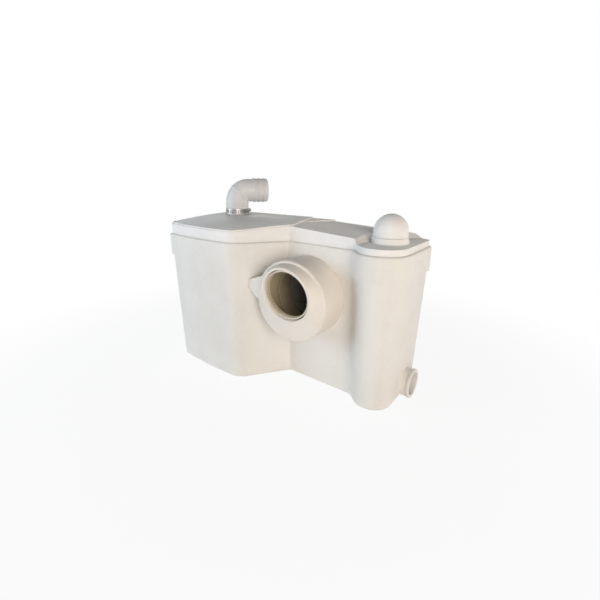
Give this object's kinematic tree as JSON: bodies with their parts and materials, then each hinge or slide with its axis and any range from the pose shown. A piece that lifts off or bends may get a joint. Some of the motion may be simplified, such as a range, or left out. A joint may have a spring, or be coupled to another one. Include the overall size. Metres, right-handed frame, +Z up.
{
  "type": "sewage lifting unit",
  "caption": "Floor standing sewage lifting unit: moulded tank with lift-off lid, side mouthed rubber inlet, outlet elbow, air vent, and macerator pump with basket inside.",
  "frame": {"origin": "on the floor, under the middle of the tank's width and 95 mm in front of the room wall", "axes": "+Z up, -Y to the front, +X to the right end with the side inlet; the room wall is Y = +0.095"},
  "size_m": [0.4752, 0.2128, 0.3584],
  "materials": {
    "tank": "satin white moulding",
    "lid": "satin white moulding",
    "sleeve": "matt off-white rubber",
    "elbow": "matt off-white rubber",
    "clamp": "brushed stainless",
    "seal": "matt black",
    "pump": "matt black",
    "basket": "matt grey",
    "motor": "die cast",
    "stator": "laminated steel with copper coils",
    "steel": "turned steel",
    "capacitor": "smooth",
    "switch": "matt grey",
    "gland": "matt grey",
    "filter": "open foam with carbon"
  },
  "bodies": {
    "tank": {"tank": "tank", "lid_seal": "seal", "volute": "pump", "suction_cover": "pump", "pump_pads": "seal", "pump_pillars": "motor", "basket": "basket", "motor_housing": "motor", "motor_cover": "motor", "stator": "stator", "lower_bearing": "steel", "upper_bearing": "steel", "shaft_seal": "seal", "motor_cover_screws": "steel", "capacitor": "capacitor", "discharge_riser": "pump", "valve_housing": "pump", "side_flap_pin": "steel", "level_bell": "basket", "switch_membrane": "seal", "switch_housing": "switch", "micro_switch": "switch", "lever_pin": "steel", "cable_gland": "gland", "gland_nut": "gland"},
    "lid": {"lid": "lid", "outlet_stub": "lid", "stub_ring": "seal", "vent_base": "lid", "vent_filter": "filter"},
    "elbow": {"discharge_elbow": "elbow", "clamp_band": "clamp", "clamp_housing": "clamp"},
    "clamp_screw": {"clamp_screw": "clamp"},
    "sleeve": {"inlet_sleeve": "sleeve"},
    "rotor": {"rotor": "steel", "motor_shaft": "steel", "impeller": "pump", "cutter": "steel", "cutter_nut": "steel"},
    "check_flap": {"check_flap": "seal"},
    "side_flap": {"side_flap": "seal"},
    "vent_disc": {"vent_disc": "gland"},
    "vent_cap": {"vent_cap": "lid"},
    "switch_plunger": {"switch_plunger": "switch"},
    "switch_lever": {"switch_lever": "steel"}
  },
  "joints": [
    {"name": "lid_lift", "type": "slide", "parent": "tank", "child": "lid", "axis": [0, 0, 1], "range_m": [0, 0.12]},
    {"name": "elbow_swivel", "type": "hinge", "parent": "lid", "child": "elbow", "pos_m": [-0.1705, 0.043, 0.3], "axis": [0, 0, 1], "continuous": true},
    {"name": "clamp_screw_turn", "type": "hinge", "parent": "elbow", "child": "clamp_screw", "pos_m": [-0.1705, 0.07091, 0.293], "axis": [1, 0, 0], "continuous": true},
    {"name": "sleeve_pull", "type": "slide", "parent": "tank", "child": "sleeve", "axis": [0, -1, 0], "range_m": [0, 0.04]},
    {"name": "rotor_spin", "type": "hinge", "parent": "tank", "child": "rotor", "pos_m": [-0.078, 0.015, 0.1], "axis": [0, 0, 1], "continuous": true},
    {"name": "check_flap_swing", "type": "hinge", "parent": "tank", "child": "check_flap", "pos_m": [-0.1705, 0.06, 0.2106], "axis": [-1, 0, 0], "range_deg": [0, 65]},
    {"name": "side_flap_swing", "type": "hinge", "parent": "tank", "child": "side_flap", "pos_m": [0.20845, 0.036, 0.055], "axis": [0, 1, 0], "range_deg": [0, 60]},
    {"name": "vent_cap_lift", "type": "slide", "parent": "lid", "child": "vent_cap", "axis": [0, 0, 1], "range_m": [0, 0.03]},
    {"name": "vent_disc_lift", "type": "slide", "parent": "lid", "child": "vent_disc", "axis": [0, 0, 1], "range_m": [0, 0.004]},
    {"name": "switch_press", "type": "slide", "parent": "tank", "child": "switch_plunger", "axis": [0, 0, 1], "range_m": [0, 0.0015], "stiffness_N_per_m": 300},
    {"name": "switch_lever_tilt", "type": "hinge", "parent": "tank", "child": "switch_lever", "pos_m": [0.1155, 0.048, 0.2087], "axis": [0, -1, 0], "range_deg": [0, 5]}
  ],
  "couplings": [
    {"joint": "switch_lever_tilt", "follows": "switch_press", "rad_per_m": 55.556}
  ]
}
